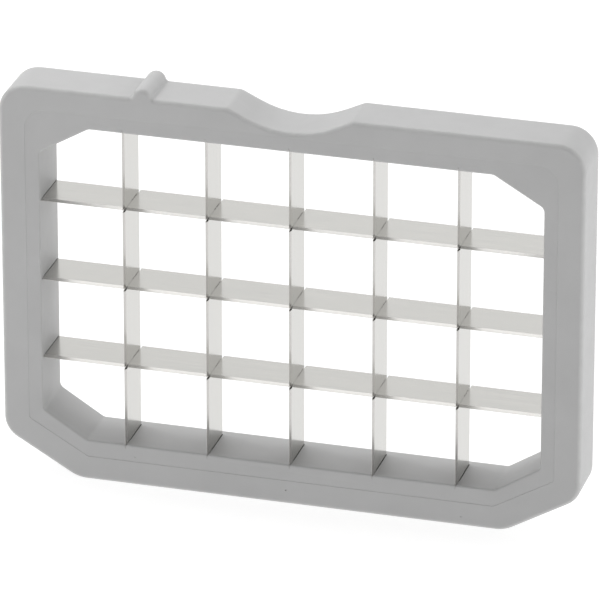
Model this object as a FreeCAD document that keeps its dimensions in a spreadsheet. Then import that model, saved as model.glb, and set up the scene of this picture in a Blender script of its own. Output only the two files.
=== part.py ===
"""Dicing grid of a commercial vegetable dicer, as a parametric FreeCAD document.

A moulded plastic frame holds five upright and three level stainless steel
blades. The blades are half-lapped into a grid of 24 square cells, their end
tabs drop into slots in the frame, and a flush ring in the front rebate keeps
them there.

Axes: X along the long side, -Y towards the cutting edges, +Z up. The origin
is the middle of the bottom edge. All lengths are in millimetres.
"""
import FreeCAD, Part
import os

import Sketcher

DIMENSIONS = {
    # Frame
    "frame_width": 139.6,
    "frame_height": 98.6,
    "frame_depth": 14.0,
    "grid_centre_height": 49.8,
    "top_corner_radius": 6.5,
    "foot_chamfer_width": 18.0,
    "foot_chamfer_height": 10.4,
    "foot_side_radius": 6.0,
    "foot_base_radius": 8.0,
    "front_edge_radius": 1.0,
    "rear_edge_radius": 2.2,
    # Opening through the frame
    "opening_width": 120.4,
    "opening_height": 79.2,
    "upper_corner_width": 12.0,
    "upper_corner_height": 7.0,
    "lower_corner_width": 10.8,
    "lower_corner_height": 6.8,
    "opening_corner_radius": 1.8,
    "opening_edge_radius": 0.5,
    # Shaft notch and key rib on the top edge
    "notch_width": 29.5,
    "notch_vee_depth": 7.0,
    "notch_floor_radius": 24.0,
    "notch_end_radius": 3.0,
    "key_rib_offset": 35.2,
    "key_rib_radius": 2.3,
    "key_rib_root_radius": 0.8,
    # Retaining ring, flush in the front rebate
    "ring_side_width": 3.3,
    "ring_top_width": 3.6,
    "ring_bottom_width": 4.1,
    "ring_thickness": 3.0,
    "ring_clearance": 0.06,
    "ring_corner_radius": 5.0,
    "ring_chamfer_width": 14.3,
    "ring_chamfer_height": 8.25,
    # Blades
    "cell_pitch": 20.0,
    "blade_thickness": 0.6,
    "blade_width": 11.8,
    "bevel_depth": 1.0,
    "edge_land": 0.06,
    "vertical_recess": 0.1,
    "horizontal_recess": 1.2,
    "tab_length": 2.9,
    "shoulder_length": 0.8,
    # Clearances round the blades
    "slot_side_gap": 0.12,
    "slot_end_gap": 0.1,
    "lap_front_gap": 0.08,
    "lap_rear_gap": 0.14,
}

VERTICAL_BLADES = 5
HORIZONTAL_BLADES = 3
TOLERANCE = 1e-4


class Size:
    """A length that carries its sheet formula together with its present value."""

    def __init__(self, formula, value):
        self.formula = formula
        self.value = value

    def __add__(self, other):
        return Size(f"({self.formula} + {other.formula})", self.value + other.value)

    def __sub__(self, other):
        return Size(f"({self.formula} - {other.formula})", self.value - other.value)

    def __neg__(self):
        return Size(f"(-{self.formula})", -self.value)

    def __mul__(self, factor):
        return Size(f"({self.formula} * {factor})", self.value * factor)

    def __truediv__(self, divisor):
        return Size(f"({self.formula} / {divisor})", self.value / divisor)


def make_sheet(document):
    """Write every driving dimension into the sheet, one named cell to a row."""
    sheet = document.addObject("Spreadsheet::Sheet", "dims")
    for row, (name, value) in enumerate(DIMENSIONS.items(), start=1):
        sheet.set(f"A{row}", name)
        sheet.set(f"B{row}", str(value))
        sheet.setAlias(f"B{row}", name)
    document.recompute()
    return sheet


doc = FreeCAD.newDocument("dicing_grid")
dims = make_sheet(doc)


def cell(name):
    """Return the named dimension as a Size read from the sheet."""
    return Size(f"dims.{name}", float(dims.get(name)))


ZERO = Size("0", 0.0)
CENTRE = cell("grid_centre_height")
FRAME_HALF_WIDTH = cell("frame_width") / 2
FRAME_TOP = cell("frame_height")
FRAME_DEPTH = cell("frame_depth")
FRONT = -(FRAME_DEPTH / 2)
REAR = FRAME_DEPTH / 2
OPENING_HALF_WIDTH = cell("opening_width") / 2
OPENING_TOP = CENTRE + cell("opening_height") / 2
OPENING_BOTTOM = CENTRE - cell("opening_height") / 2
REBATE_FLOOR = FRONT + cell("ring_thickness")
VERTICAL_FRONT = FRONT + cell("vertical_recess")
HORIZONTAL_FRONT = FRONT + cell("horizontal_recess")
VERTICAL_REAR = VERTICAL_FRONT + cell("blade_width")
HORIZONTAL_REAR = HORIZONTAL_FRONT + cell("blade_width")
LAP_MIDDLE = (HORIZONTAL_FRONT + VERTICAL_REAR) / 2
PITCH = cell("cell_pitch")
THICKNESS = cell("blade_thickness")
FIRST_X = -(PITCH * ((VERTICAL_BLADES - 1) / 2))
FIRST_Z = CENTRE - PITCH * ((HORIZONTAL_BLADES - 1) / 2)


# ---------------------------------------------------------------- sketch helpers

def new_body(name):
    """Add an empty body whose label names its file."""
    body = doc.addObject("PartDesign::Body", name)
    body.Label = name
    return body


def origin_feature(body, role):
    """Return the body's own origin plane or axis that has this role."""
    return next(item for item in body.Origin.OriginFeatures if item.Role == role)


def new_sketch(body, name, plane, offset=ZERO):
    """Attach a sketch to one of the body's origin planes, at an offset along its normal."""
    sketch = body.newObject("Sketcher::SketchObject", name)
    sketch.AttachmentSupport = [(origin_feature(body, plane), "")]
    sketch.MapMode = "FlatFace"
    sketch.AttachmentOffset = FreeCAD.Placement(FreeCAD.Vector(0, 0, offset.value), FreeCAD.Rotation())
    sketch.setExpression("AttachmentOffset.Base.z", offset.formula)
    return sketch


def pin(sketch, geometry, point, direction, size):
    """Fix one coordinate of a point to a sheet formula, measured from the sketch origin."""
    first, second = (-1, 1), (geometry, point)
    if size.value < 0:
        first, second = second, first
        size = -size
    row = sketch.addConstraint(Sketcher.Constraint(direction, *first, *second, size.value))
    sketch.setExpression(f"Constraints[{row}]", size.formula)


def draw_polygon(sketch, corners):
    """Draw a closed polygon with every corner driven by the sheet."""
    count = len(corners)
    points = [FreeCAD.Vector(x.value, y.value, 0) for x, y in corners]
    first = sketch.GeometryCount
    for index in range(count):
        sketch.addGeometry(Part.LineSegment(points[index], points[(index + 1) % count]))
    for index in range(count):
        following = (index + 1) % count
        sketch.addConstraint(Sketcher.Constraint("Coincident", first + index, 2, first + following, 1))
    for index, (x, y) in enumerate(corners):
        pin(sketch, first + index, 1, "DistanceX", x)
        pin(sketch, first + index, 1, "DistanceY", y)


def draw_rectangle(sketch, left, right, bottom, top):
    """Draw an upright rectangle between four driven sides."""
    draw_polygon(sketch, [(left, bottom), (right, bottom), (right, top), (left, top)])


def draw_circle(sketch, x, y, radius):
    """Draw a circle with a driven centre and radius."""
    centre = FreeCAD.Vector(x.value, y.value, 0)
    circle = sketch.addGeometry(Part.Circle(centre, FreeCAD.Vector(0, 0, 1), radius.value))
    pin(sketch, circle, 3, "DistanceX", x)
    pin(sketch, circle, 3, "DistanceY", y)
    row = sketch.addConstraint(Sketcher.Constraint("Radius", circle, radius.value))
    sketch.setExpression(f"Constraints[{row}]", radius.formula)


# --------------------------------------------------------------- feature helpers

def pad(body, name, sketch, length):
    """Grow a sketch equally to both sides of its plane."""
    feature = body.newObject("PartDesign::Pad", name)
    feature.Profile = sketch
    feature.Midplane = True
    feature.setExpression("Length", length.formula)
    doc.recompute()
    return feature


def pocket(body, name, sketch, length=None, towards_normal=False):
    """Cut a sketch away to a depth, or right through to both sides, and check that it cut."""
    before = body.Shape.Volume
    feature = body.newObject("PartDesign::Pocket", name)
    feature.Profile = sketch
    if length is None:
        feature.Midplane = True
        feature.setExpression("Length", (FRAME_DEPTH * 4).formula)
    else:
        feature.Reversed = towards_normal
        feature.setExpression("Length", length.formula)
    doc.recompute()
    if not feature.Shape.Volume < before - TOLERANCE:
        raise RuntimeError(f"{name} removes nothing from {body.Label}")
    return feature


def repeat(body, name, feature, axis, count):
    """Repeat a feature at the cell pitch along one of the body's axes."""
    pattern = body.newObject("PartDesign::LinearPattern", name)
    pattern.Originals = [feature]
    pattern.Direction = (origin_feature(body, axis), [""])
    pattern.Occurrences = count
    pattern.setExpression("Length", (PITCH * (count - 1)).formula)
    body.Tip = pattern
    doc.recompute()
    return pattern


def round_edges(body, name, base, wanted, radius):
    """Fillet every edge of the base feature that the test accepts."""
    names = [f"Edge{number}" for number, edge in enumerate(base.Shape.Edges, start=1) if wanted(edge)]
    if not names:
        raise RuntimeError(f"{name} finds no edge on {body.Label}")
    feature = body.newObject("PartDesign::Fillet", name)
    feature.Base = (base, names)
    feature.setExpression("Radius", radius.formula)
    doc.recompute()
    return feature


def cross_edge_at(corners):
    """Accept edges that run along Y through one of the given (x, z) corners."""
    def wanted(edge):
        start, end = edge.Vertexes[0].Point, edge.Vertexes[-1].Point
        if abs(start.x - end.x) > TOLERANCE or abs(start.z - end.z) > TOLERANCE:
            return False
        return any(abs(start.x - x.value) < TOLERANCE and abs(start.z - z.value) < TOLERANCE
                   for x, z in corners)
    return wanted


def edge_in_plane(y, inside_opening):
    """Accept edges in the plane at y, either round the opening or round the outside."""
    def wanted(edge):
        box = edge.BoundBox
        if abs(box.YMin - y.value) > TOLERANCE or abs(box.YMax - y.value) > TOLERANCE:
            return False
        x_inside = max(abs(box.XMin), abs(box.XMax)) < OPENING_HALF_WIDTH.value + TOLERANCE
        z_inside = (box.ZMin > OPENING_BOTTOM.value - TOLERANCE
                    and box.ZMax < OPENING_TOP.value + TOLERANCE)
        return (x_inside and z_inside) == inside_opening
    return wanted


# ------------------------------------------------------------------ shared outlines

def mirrored(right_side):
    """Complete an outline from its right-hand corners, listed from bottom to top."""
    return right_side + [(-x, z) for x, z in reversed(right_side)]


def opening_corners():
    """Return the eight corners of the opening, a rectangle with its corners cut off."""
    half_width = OPENING_HALF_WIDTH
    return mirrored([
        (half_width - cell("lower_corner_width"), OPENING_BOTTOM),
        (half_width, OPENING_BOTTOM + cell("lower_corner_height")),
        (half_width, OPENING_TOP - cell("upper_corner_height")),
        (half_width - cell("upper_corner_width"), OPENING_TOP),
    ])


def ring_corners(gap):
    """Return the outline of the ring or of its rebate, a gap wider than the ring."""
    half_width = OPENING_HALF_WIDTH + cell("ring_side_width") + gap
    bottom = OPENING_BOTTOM - cell("ring_bottom_width") - gap
    top = OPENING_TOP + cell("ring_top_width") + gap
    return mirrored([
        (half_width - cell("ring_chamfer_width"), bottom),
        (half_width, bottom + cell("ring_chamfer_height")),
        (half_width, top),
    ])


def ring_top_corners(gap):
    """Return the two rounded corners of the ring outline."""
    right = ring_corners(gap)[2]
    return [right, (-right[0], right[1])]


# --------------------------------------------------------------------- the frame

def draw_upright_slot(sketch, reach):
    """Outline the first upright blade's slot, reaching past the opening at both ends."""
    half_slot = THICKNESS / 2 + cell("slot_side_gap")
    draw_rectangle(sketch, FIRST_X - half_slot, FIRST_X + half_slot,
                   OPENING_BOTTOM - reach, OPENING_TOP + reach)


def draw_level_slot(sketch, reach):
    """Outline the first level blade's slot, reaching past the opening at both ends."""
    half_slot = THICKNESS / 2 + cell("slot_side_gap")
    side = OPENING_HALF_WIDTH + reach
    draw_rectangle(sketch, -side, side, FIRST_Z - half_slot, FIRST_Z + half_slot)


def cut_blade_slots(body):
    """Cut the slots that take the blade tabs, in from the front face."""
    end_gap = cell("slot_end_gap")
    reach = cell("tab_length") + end_gap
    sketch = new_sketch(body, "vertical_slot_outline", "XZ_Plane", -FRONT)
    draw_upright_slot(sketch, reach)
    slot = pocket(body, "vertical_slot", sketch, VERTICAL_REAR - FRONT + end_gap)
    repeat(body, "vertical_slots", slot, "X_Axis", VERTICAL_BLADES)

    sketch = new_sketch(body, "horizontal_slot_outline", "XZ_Plane", -FRONT)
    draw_level_slot(sketch, reach)
    slot = pocket(body, "horizontal_slot", sketch, HORIZONTAL_REAR - FRONT + end_gap)
    repeat(body, "horizontal_slots", slot, "Z_Axis", HORIZONTAL_BLADES)


def outer_front_edge(edge):
    """Accept the front edges round the outside of the frame, not those of the rebate."""
    gap = cell("ring_clearance")
    (_, bottom), (half_width, _), (_, top) = ring_corners(gap)[:3]
    box = edge.BoundBox
    in_rebate = (max(abs(box.XMin), abs(box.XMax)) < half_width.value + TOLERANCE
                 and box.ZMin > bottom.value - TOLERANCE
                 and box.ZMax < top.value + TOLERANCE)
    return edge_in_plane(FRONT, False)(edge) and not in_rebate


def make_frame():
    """Mould the frame: outline, shaft notch, key rib, opening, rebate and blade slots."""
    body = new_body("frame_body")
    half_width = FRAME_HALF_WIDTH
    base_corner = (half_width - cell("foot_chamfer_width"), ZERO)
    side_corner = (half_width, cell("foot_chamfer_height"))
    top_corner = (half_width, FRAME_TOP)

    sketch = new_sketch(body, "outer_outline", "XZ_Plane")
    draw_polygon(sketch, mirrored([base_corner, side_corner, top_corner]))
    block = pad(body, "block", sketch, FRAME_DEPTH)
    for name, corner, radius in (
            ("base_rounds", base_corner, "foot_base_radius"),
            ("side_rounds", side_corner, "foot_side_radius"),
            ("top_rounds", top_corner, "top_corner_radius")):
        wanted = cross_edge_at([corner, (-corner[0], corner[1])])
        block = round_edges(body, name, block, wanted, cell(radius))

    half_notch = cell("notch_width") / 2
    notch_floor = (ZERO, FRAME_TOP - cell("notch_vee_depth"))
    sketch = new_sketch(body, "shaft_notch_outline", "XZ_Plane")
    draw_polygon(sketch, [(-half_notch, FRAME_TOP), notch_floor, (half_notch, FRAME_TOP)])
    notch = pocket(body, "shaft_notch", sketch)
    notch = round_edges(body, "notch_floor", notch, cross_edge_at([notch_floor]), cell("notch_floor_radius"))
    notch_ends = [(-half_notch, FRAME_TOP), (half_notch, FRAME_TOP)]
    round_edges(body, "notch_ends", notch, cross_edge_at(notch_ends), cell("notch_end_radius"))

    rib_x = -cell("key_rib_offset")
    rib_radius = cell("key_rib_radius")
    sketch = new_sketch(body, "key_rib_outline", "XZ_Plane")
    draw_circle(sketch, rib_x, FRAME_TOP, rib_radius)
    rib = pad(body, "key_rib", sketch, FRAME_DEPTH)
    rib_roots = [(rib_x - rib_radius, FRAME_TOP), (rib_x + rib_radius, FRAME_TOP)]
    round_edges(body, "key_rib_roots", rib, cross_edge_at(rib_roots), cell("key_rib_root_radius"))

    sketch = new_sketch(body, "opening_outline", "XZ_Plane")
    draw_polygon(sketch, opening_corners())
    opening = pocket(body, "opening", sketch)
    round_edges(body, "opening_rounds", opening, cross_edge_at(opening_corners()),
                cell("opening_corner_radius"))

    gap = cell("ring_clearance")
    sketch = new_sketch(body, "rebate_outline", "XZ_Plane", -FRONT)
    draw_polygon(sketch, ring_corners(gap))
    rebate = pocket(body, "rebate", sketch, cell("ring_thickness"))
    rebate = round_edges(body, "rebate_rounds", rebate, cross_edge_at(ring_top_corners(gap)),
                         cell("ring_corner_radius"))

    edges = round_edges(body, "front_edge", rebate, outer_front_edge, cell("front_edge_radius"))
    edges = round_edges(body, "rear_edge", edges, edge_in_plane(REAR, False), cell("rear_edge_radius"))
    round_edges(body, "opening_rear_edge", edges, edge_in_plane(REAR, True), cell("opening_edge_radius"))
    cut_blade_slots(body)
    return body


# ------------------------------------------------------------- the retaining ring

def make_ring():
    """Mould the ring that closes the blade slots, flush with the front of the frame."""
    body = new_body("front_retaining_ring")
    thickness = cell("ring_thickness")
    middle = (FRONT + REBATE_FLOOR) / 2
    sketch = new_sketch(body, "ring_outline", "XZ_Plane", -middle)
    draw_polygon(sketch, ring_corners(ZERO))
    plate = pad(body, "plate", sketch, thickness)
    round_edges(body, "outer_rounds", plate, cross_edge_at(ring_top_corners(ZERO)),
                cell("ring_corner_radius"))

    sketch = new_sketch(body, "ring_opening_outline", "XZ_Plane")
    draw_polygon(sketch, opening_corners())
    opening = pocket(body, "ring_opening", sketch)
    opening = round_edges(body, "ring_opening_rounds", opening, cross_edge_at(opening_corners()),
                          cell("opening_corner_radius"))
    round_edges(body, "ring_front_edge", opening, edge_in_plane(FRONT, True), cell("opening_edge_radius"))

    end_gap = cell("slot_end_gap")
    reach = cell("shoulder_length") + end_gap
    sketch = new_sketch(body, "vertical_notch_outline", "XZ_Plane")
    draw_upright_slot(sketch, reach)
    notch = pocket(body, "vertical_notch", sketch)
    repeat(body, "vertical_notches", notch, "X_Axis", VERTICAL_BLADES)

    sketch = new_sketch(body, "horizontal_notch_outline", "XZ_Plane", -REBATE_FLOOR)
    draw_level_slot(sketch, reach)
    depth = REBATE_FLOOR - HORIZONTAL_FRONT + end_gap
    notch = pocket(body, "horizontal_notch", sketch, depth, towards_normal=True)
    repeat(body, "horizontal_notches", notch, "Z_Axis", HORIZONTAL_BLADES)
    return body


# --------------------------------------------------------------------- the blades

def blade_section(front, across):
    """Return the strip's section: flat sides ground to a double bevel at the front.

    Corners are (along Y, across the thickness) about the strip's own middle plane.
    """
    half = THICKNESS / 2
    land = cell("edge_land") / 2
    heel = front + cell("bevel_depth")
    rear = front + cell("blade_width")
    outline = [(front, -land), (heel, -half), (rear, -half), (rear, half), (heel, half), (front, land)]
    return [(y, across + t) for y, t in outline]


def make_vertical_blade(number):
    """Make one upright blade: ground strip, three laps open to the front, and end shoulders."""
    x = FIRST_X + PITCH * (number - 1)
    body = new_body(f"vertical_blade_{number}")
    half_length = cell("opening_height") / 2 + cell("tab_length")

    sketch = new_sketch(body, "section", "XY_Plane", CENTRE)
    draw_polygon(sketch, [(across, y) for y, across in blade_section(VERTICAL_FRONT, x)])
    pad(body, "strip", sketch, half_length * 2)

    half_slot = THICKNESS / 2 + cell("lap_front_gap")
    slot_end = LAP_MIDDLE + cell("slot_end_gap") / 2
    sketch = new_sketch(body, "lap_outline", "YZ_Plane", x)
    draw_rectangle(sketch, FRONT - THICKNESS, slot_end, FIRST_Z - half_slot, FIRST_Z + half_slot)
    lap = pocket(body, "lap", sketch)
    repeat(body, "laps", lap, "Z_Axis", HORIZONTAL_BLADES)

    shoulder = cell("opening_height") / 2 + cell("shoulder_length")
    end = half_length + THICKNESS
    tab_front = REBATE_FLOOR + cell("slot_end_gap")
    sketch = new_sketch(body, "shoulder_outline", "YZ_Plane", x)
    draw_rectangle(sketch, FRONT - THICKNESS, tab_front, CENTRE + shoulder, CENTRE + end)
    draw_rectangle(sketch, FRONT - THICKNESS, tab_front, CENTRE - end, CENTRE - shoulder)
    pocket(body, "shoulders", sketch)
    return body


def make_horizontal_blade(number):
    """Make one level blade: ground strip, five laps open to the rear, and end shoulders."""
    z = FIRST_Z + PITCH * (number - 1)
    body = new_body(f"horizontal_blade_{number}")
    half_length = OPENING_HALF_WIDTH + cell("tab_length")

    sketch = new_sketch(body, "section", "YZ_Plane")
    draw_polygon(sketch, blade_section(HORIZONTAL_FRONT, z))
    pad(body, "strip", sketch, half_length * 2)

    half_slot = THICKNESS / 2 + cell("lap_rear_gap")
    slot_end = LAP_MIDDLE - cell("slot_end_gap") / 2
    sketch = new_sketch(body, "lap_outline", "XY_Plane", z)
    draw_rectangle(sketch, FIRST_X - half_slot, FIRST_X + half_slot, slot_end, REAR + THICKNESS)
    lap = pocket(body, "lap", sketch)
    repeat(body, "laps", lap, "X_Axis", VERTICAL_BLADES)

    shoulder = OPENING_HALF_WIDTH + cell("shoulder_length")
    end = half_length + THICKNESS
    tab_front = REBATE_FLOOR + cell("slot_end_gap")
    sketch = new_sketch(body, "shoulder_outline", "XY_Plane", z)
    draw_rectangle(sketch, shoulder, end, FRONT - THICKNESS, tab_front)
    draw_rectangle(sketch, -end, -shoulder, FRONT - THICKNESS, tab_front)
    pocket(body, "shoulders", sketch)
    return body


# ---------------------------------------------------------------- check and export

def check_document():
    """Stop if any feature has failed to build."""
    for item in doc.Objects:
        if "Invalid" in item.State or "Error" in item.State:
            raise RuntimeError(f"{item.Label} failed: {item.State}")


def export_part(body):
    """Write one checked single-solid part to its own file."""
    shape = body.Shape
    if shape.isNull() or not shape.isValid() or len(shape.Solids) != 1:
        raise RuntimeError(f"{body.Label} is not one valid solid")
    shape.exportStep(os.path.join("parts", f"{body.Label}.step"))
    box = shape.BoundBox
    print(f"{body.Label}: {box.XLength:.2f} x {box.YLength:.2f} x {box.ZLength:.2f} mm, "
          f"{shape.Volume / 1000:.3f} cm3")


parts = [make_frame(), make_ring()]
parts += [make_vertical_blade(number) for number in range(1, VERTICAL_BLADES + 1)]
parts += [make_horizontal_blade(number) for number in range(1, HORIZONTAL_BLADES + 1)]
doc.recompute()
check_document()
os.makedirs("parts", exist_ok=True)
for part in parts:
    export_part(part)
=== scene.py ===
# %% [markdown]
# # A dicing grid for a vegetable dicer
#
# The object is the cutting insert of a commercial vegetable dicer: a light grey
# moulded frame that carries five upright and three level stainless blades,
# half-lapped into square cells. It has four kinds of piece, the frame, a flush
# ring, and two sets of blades, and this notebook makes them in that order, after
# the camera. The CAD frame fixes every place and size.

import math

import bmesh
import bpy
from mathutils import Matrix, Vector


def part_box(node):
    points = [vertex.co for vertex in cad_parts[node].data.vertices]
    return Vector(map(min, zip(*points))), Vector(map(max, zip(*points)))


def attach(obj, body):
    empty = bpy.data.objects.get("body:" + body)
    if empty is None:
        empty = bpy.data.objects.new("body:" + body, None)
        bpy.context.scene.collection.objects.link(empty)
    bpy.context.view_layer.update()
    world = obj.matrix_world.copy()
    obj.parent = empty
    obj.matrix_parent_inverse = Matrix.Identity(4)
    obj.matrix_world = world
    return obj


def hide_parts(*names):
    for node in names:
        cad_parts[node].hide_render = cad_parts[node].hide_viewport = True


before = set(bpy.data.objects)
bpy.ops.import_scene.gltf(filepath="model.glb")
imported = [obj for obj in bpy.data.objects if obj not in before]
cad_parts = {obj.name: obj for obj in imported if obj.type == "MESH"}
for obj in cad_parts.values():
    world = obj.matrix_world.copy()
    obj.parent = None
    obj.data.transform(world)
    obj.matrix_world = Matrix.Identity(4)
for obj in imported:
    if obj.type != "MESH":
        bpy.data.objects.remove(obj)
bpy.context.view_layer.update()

# %% [markdown]
# ## Places from the CAD
#
# A node's box says where the frame ends, where the ring stops and where each
# blade stands. Reading them here, instead of typing them in, means that the
# visible pieces can never drift away from the CAD.

# %% Places from the CAD
MM = 0.001
frame_low, frame_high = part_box("frame_body")
ring_low, ring_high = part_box("front_retaining_ring")
upright_low, upright_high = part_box("vertical_blade_1")
level_low, level_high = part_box("horizontal_blade_1")
UPRIGHT_COUNT = 5
LEVEL_COUNT = 3
CELL_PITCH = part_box("vertical_blade_2")[0].x - upright_low.x
BLADE_THICKNESS = upright_high.x - upright_low.x
UPRIGHT_X = (upright_low.x + upright_high.x) / 2
LEVEL_Z = (level_low.z + level_high.z) / 2
GRID_CENTRE = LEVEL_Z + CELL_PITCH * (LEVEL_COUNT - 1) / 2
FRONT = frame_low.y
REAR = frame_high.y
REBATE_FLOOR = ring_high.y
print("cell pitch, mm:", round(CELL_PITCH / MM, 2), "blade thickness, mm:", round(BLADE_THICKNESS / MM, 2))

# %% [markdown]
# ## The camera
#
# A flat, open object like this is best shown from a little above and from one
# side, so that the blades show their width. A wide lens close by would
# splay the cells, so the camera has a long lens and stands well back, which keeps
# the grid lines almost parallel.

# %% Camera
VIEW_AZIMUTH = math.radians(15.93)
VIEW_ELEVATION = math.radians(24.28)
VIEW_DISTANCE = 1.622
LENS_MM = 420.0
AIM_RIGHT = 0.64 * MM
AIM_UP = -0.93 * MM


def make_camera():
    """Place the camera on its orbit round the middle of the frame."""
    forward = Vector((-math.sin(VIEW_AZIMUTH) * math.cos(VIEW_ELEVATION),
                      math.cos(VIEW_AZIMUTH) * math.cos(VIEW_ELEVATION),
                      -math.sin(VIEW_ELEVATION)))
    right = Vector((math.cos(VIEW_AZIMUTH), math.sin(VIEW_AZIMUTH), 0))
    up = right.cross(forward)
    centre = (frame_low + frame_high) / 2
    data = bpy.data.cameras.new("product_camera")
    data.lens = LENS_MM
    data.sensor_width = 36
    data.clip_start = 0.05
    data.clip_end = 20
    camera = bpy.data.objects.new("product_camera", data)
    camera.location = centre + right * AIM_RIGHT + up * AIM_UP - forward * VIEW_DISTANCE
    camera.rotation_euler = forward.to_track_quat("-Z", "Y").to_euler()
    bpy.context.scene.collection.objects.link(camera)
    bpy.context.scene.camera = camera


make_camera()
print("camera:", round(VIEW_DISTANCE, 3), "m away, lens", LENS_MM, "mm")

# %% [markdown]
# ## One way to write nodes
#
# Materials, the studio dome and the blade generator are all node trees. One
# small function adds a node, applies its settings and fills its inputs. An input
# may be a plain value, a socket, or a node, which stands for its first output.

# %% Node and colour helpers
def add_node(tree, kind, inputs=None, **settings):
    """Add a node, set its properties, and fill its inputs with values or links."""
    node = tree.nodes.new(kind)
    for name, value in settings.items():
        setattr(node, name, value)
    for key, value in (inputs or {}).items():
        if isinstance(value, bpy.types.Node):
            value = value.outputs[0]
        if isinstance(value, bpy.types.NodeSocket):
            tree.links.new(value, node.inputs[key])
        else:
            node.inputs[key].default_value = value
    return node


def linear(hex_colour):
    """Turn an sRGB hex colour into the linear values that the shaders use."""
    channels = [int(hex_colour[index:index + 2], 16) / 255 for index in (1, 3, 5)]
    return [c / 12.92 if c <= 0.04045 else ((c + 0.055) / 1.055) ** 2.4 for c in channels] + [1.0]


def new_material(name):
    """Make a material with an empty node tree and return both."""
    material = bpy.data.materials.new(name)
    material.use_nodes = True
    material.node_tree.nodes.clear()
    return material, material.node_tree


print("mid grey #808080 is", round(linear("#808080")[0], 3), "linear")

# %% [markdown]
# ## The plastic: moulded acetal with a spark-eroded grain
#
# The frame is injection moulded in a light grey engineering plastic such as
# acetal. The steel mould was spark eroded, which leaves a fine satin grain, so
# the surface shows a soft sheen and no sharp reflection. The melt leaves a very
# slow drift of tone. Handling polishes the outer edges, so there the plastic is
# a touch smoother and lighter; that lighter edge colour is also a painted
# highlight, strongest halfway round each edge round. A plain grey shader would
# look like a computer model; noise at three real scales, and a vertex attribute
# for the edges, make it look moulded, from every side.

# %% Moulded plastic
GRAIN_SIZE = 0.35 * MM       # spark-eroded grain is near 0.05 mm; drawn coarser, so that it shows
DRIFT_SIZE = 14 * MM         # tone drift, from the flow of the melt
SCUFF_SIZE = 2.5 * MM        # patches of handling


def make_plastic(name, light, dark, polished_and_highlit):
    """Build satin moulded plastic that drifts between two tones and is lighter on its edges, partly from
    wear and partly as a painted highlight.
    """
    material, tree = new_material(name)
    place = add_node(tree, "ShaderNodeTexCoord").outputs["Object"]
    drift = add_node(tree, "ShaderNodeTexNoise",
                     {"Vector": place, "Scale": 1 / DRIFT_SIZE, "Detail": 3.0, "Roughness": 0.6})
    grain = add_node(tree, "ShaderNodeTexNoise",
                     {"Vector": place, "Scale": 1 / GRAIN_SIZE, "Detail": 2.0, "Roughness": 0.6})
    scuff = add_node(tree, "ShaderNodeTexNoise",
                     {"Vector": place, "Scale": 1 / SCUFF_SIZE, "Detail": 4.0, "Roughness": 0.6})
    tone = add_node(tree, "ShaderNodeValToRGB", {"Fac": drift})
    tone.color_ramp.elements[0].position = 0.25
    tone.color_ramp.elements[0].color = linear(dark)
    tone.color_ramp.elements[1].position = 0.75
    tone.color_ramp.elements[1].color = linear(light)

    # Edge rounds turn lighter, partly from wear and partly as a painted highlight halfway round each round.
    wear_and_highlight = add_node(tree, "ShaderNodeAttribute", attribute_name="edge_wear_and_highlight").outputs["Fac"]
    worn_and_highlit = add_node(tree, "ShaderNodeMath", {0: wear_and_highlight, 1: scuff}, operation="MULTIPLY")
    colour = add_node(tree, "ShaderNodeMix", {0: worn_and_highlit, 6: tone, 7: linear(polished_and_highlit)}, data_type="RGBA")
    satin = add_node(tree, "ShaderNodeMapRange",
                     {"Value": scuff, "From Min": 0.3, "From Max": 0.7, "To Min": 0.54, "To Max": 0.47})
    roughness = add_node(tree, "ShaderNodeMath", {0: wear_and_highlight, 1: -0.08, 2: satin}, operation="MULTIPLY_ADD")
    bump = add_node(tree, "ShaderNodeBump", {"Height": grain, "Strength": 0.22, "Distance": 0.02 * MM})
    shader = add_node(tree, "ShaderNodeBsdfPrincipled",
                      {"Base Color": colour.outputs[2], "Roughness": roughness, "Normal": bump, "IOR": 1.48})
    add_node(tree, "ShaderNodeOutputMaterial", {"Surface": shader})
    return material


frame_plastic = make_plastic("moulded_acetal_frame", "#BABABA", "#B4B4B4", "#C9C9C8")
ring_plastic = make_plastic("moulded_acetal_ring", "#B9B9B9", "#B3B3B3", "#C7C7C5")
print("plastics:", frame_plastic.name, ring_plastic.name)

# %% [markdown]
# ## Outlines made of straight runs and arcs
#
# Every flat shape here is a loop of straight runs joined by arcs. Such a loop
# could be drawn as a Blender curve, but then an edge round would need a bevel,
# and a bevel on so many small arcs tears. Here each point is computed, together
# with its outward normal. With exact normals a loop can be moved inwards by any
# amount, which is all that an edge round needs.

# %% Arc and corner functions
ARC_STEP = math.radians(6)


def arc(centre, radius, start, sweep):
    """Return (point, outward normal) pairs of an arc; a negative sweep is a hollow one."""
    steps = max(2, math.ceil(abs(sweep) / ARC_STEP))
    side = 1 if sweep > 0 else -1
    pairs = []
    for step in range(steps + 1):
        angle = start + sweep * step / steps
        spoke = Vector((math.cos(angle), math.sin(angle)))
        pairs.append((centre + spoke * radius, spoke * side))
    return pairs


def corner_arc(before, corner, after, radius):
    """Round one corner of a counter-clockwise outline."""
    back = (before - corner).normalized()
    ahead = (after - corner).normalized()
    half_angle = back.angle(ahead) / 2
    centre = corner + (back + ahead).normalized() * (radius / math.sin(half_angle))
    start = corner + back * (radius / math.tan(half_angle)) - centre
    turn = -back.x * ahead.y + back.y * ahead.x
    sweep = math.copysign(math.pi - 2 * half_angle, turn)
    return arc(centre, radius, math.atan2(start.y, start.x), sweep)


def outline(corners):
    """Join rounded corners, given as (x, z, radius), into one counter-clockwise outline."""
    points = [Vector((x, z)) for x, z, radius in corners]
    pairs = []
    for index, (x, z, radius) in enumerate(corners):
        pairs += corner_arc(points[index - 1], points[index], points[(index + 1) % len(points)], radius)
    return pairs


def both_sides(right_side):
    """Complete an outline from its right-hand corners, listed from bottom to top."""
    return right_side + [(-x, z, radius) for x, z, radius in reversed(right_side)]


print("a quarter turn takes", math.ceil(math.radians(90) / ARC_STEP), "steps")

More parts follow.
